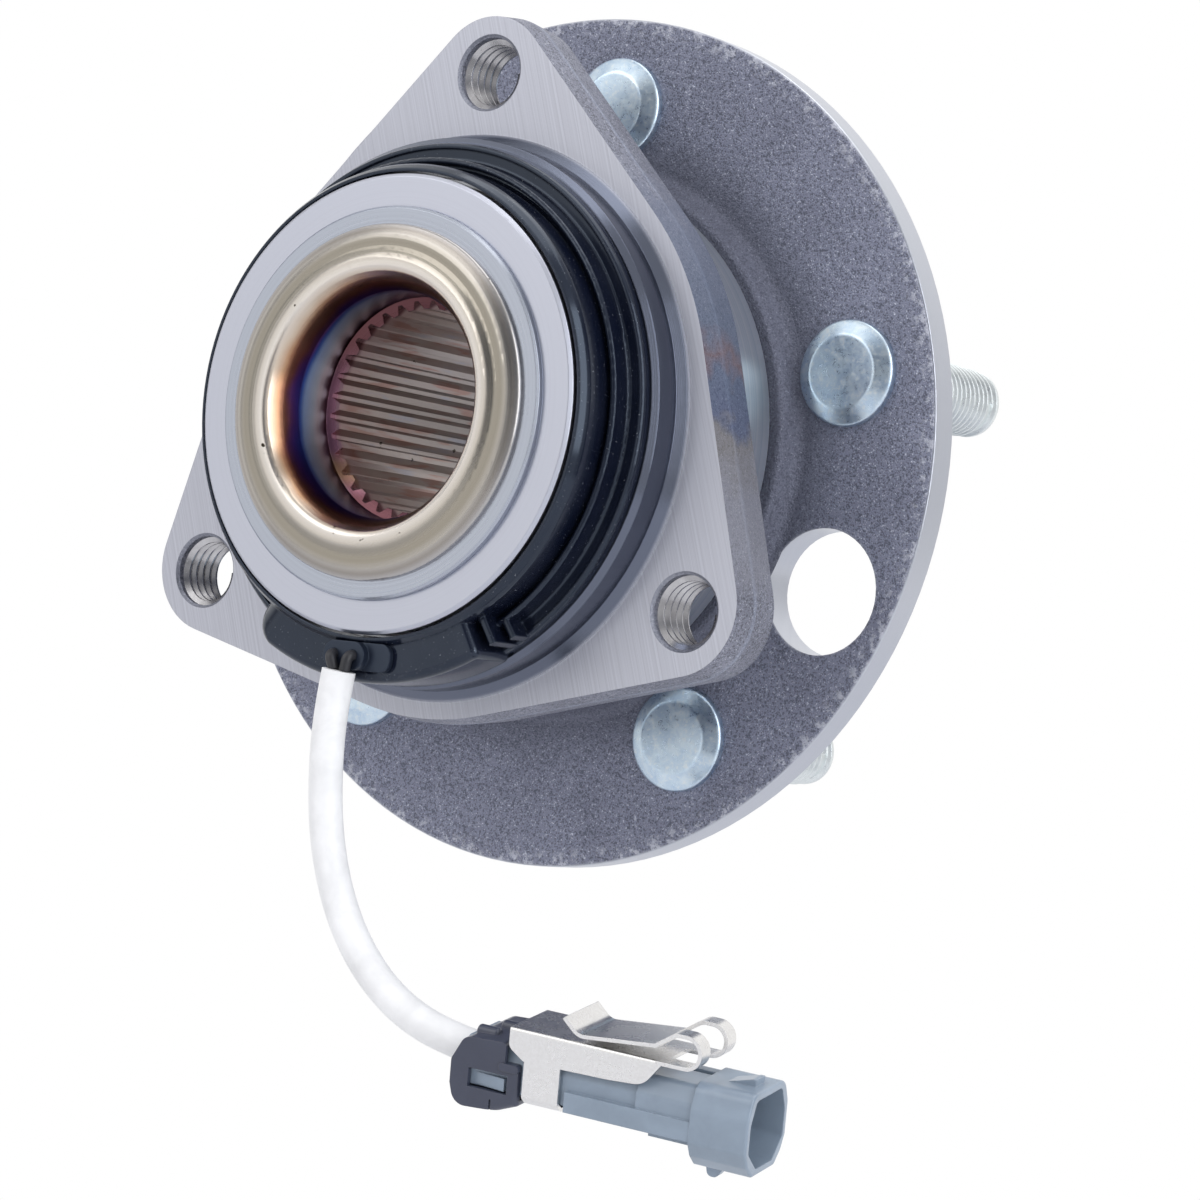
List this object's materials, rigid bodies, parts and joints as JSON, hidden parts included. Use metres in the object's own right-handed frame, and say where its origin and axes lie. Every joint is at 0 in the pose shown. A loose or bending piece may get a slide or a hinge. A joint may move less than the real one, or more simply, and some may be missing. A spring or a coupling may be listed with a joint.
{
  "type": "wheel hub bearing",
  "caption": "Driven-axle wheel hub and bearing unit: splined hub with studded wheel flange, three-lobed knuckle flange, toothed speed ring, ring sensor and lead with clipped connector.",
  "frame": {"origin": "on the axle's line, in the plane of the machined knuckle seat of the three-lobed flange", "axes": "+Y along the axle towards the wheel, +Z from the axle to the top knuckle bolt hole, so +X is to the right seen from the inboard side"},
  "size_m": [0.1569, 0.1012, 0.187],
  "materials": {
    "forged_steel": "forged and turned steel, satin",
    "hub_steel": "forged and ground steel, induction tempered at the bore",
    "zinc_steel": "pale zinc plate",
    "ground_steel": "ground",
    "bearing_steel": "polished",
    "cage_nylon": "moulded nylon",
    "seal_steel": "pressed sheet",
    "seal_rubber": "nitrile",
    "tone_ring_steel": "fine turned, satin",
    "sleeve_steel": "pressed, bright edge",
    "sensor_black": "glossy moulding",
    "pole_iron": "soft iron",
    "bobbin_nylon": "moulded",
    "coil_copper": "enamelled copper winding",
    "magnet_dark": "sintered",
    "grommet_grey": "satin moulding",
    "wire_dark": "insulated wire",
    "lead_white": "matte jacket",
    "connector_grey": "satin moulding",
    "blade_tin": "tin plate",
    "wire_seal_rubber": "silicone",
    "cap_navy": "satin moulding",
    "clip_steel": "nickel plate"
  },
  "bodies": {
    "knuckle_side": {"outer_ring": "forged_steel", "outboard_seal_case": "seal_steel", "outboard_seal_lip": "seal_rubber", "inboard_seal_case": "seal_steel", "inboard_seal_lip": "seal_rubber", "sensor_sleeve": "sleeve_steel", "sensor_body": "sensor_black", "sensor_pole": "pole_iron", "sensor_bobbin": "bobbin_nylon", "sensor_coil": "coil_copper", "sensor_magnet": "magnet_dark", "lead_grommet": "grommet_grey", "sensor_wires": "wire_dark", "lead_cable": "lead_white", "connector_body": "connector_grey", "connector_blades": "blade_tin", "wire_seal": "wire_seal_rubber", "connector_cap": "cap_navy", "mounting_clip": "clip_steel"},
    "hub": {"hub_spindle": "hub_steel", "wheel_studs": "zinc_steel", "inner_ring": "ground_steel", "inboard_slinger": "seal_steel", "tone_ring": "tone_ring_steel"},
    "inboard_ball_set": {"inboard_cage": "cage_nylon", "inboard_balls": "bearing_steel"},
    "outboard_ball_set": {"outboard_cage": "cage_nylon", "outboard_balls": "bearing_steel"}
  },
  "joints": [
    {"name": "hub_spin", "type": "hinge", "parent": "knuckle_side", "child": "hub", "pos_m": [0, 0, 0], "axis": [0, 1, 0], "continuous": true},
    {"name": "inboard_balls_spin", "type": "hinge", "parent": "knuckle_side", "child": "inboard_ball_set", "pos_m": [0, 0, 0], "axis": [0, 1, 0], "continuous": true},
    {"name": "outboard_balls_spin", "type": "hinge", "parent": "knuckle_side", "child": "outboard_ball_set", "pos_m": [0, 0, 0], "axis": [0, 1, 0], "continuous": true}
  ],
  "couplings": [
    {"joint": "inboard_balls_spin", "follows": "hub_spin", "ratio": 0.4277},
    {"joint": "outboard_balls_spin", "follows": "hub_spin", "ratio": 0.4277}
  ]
}
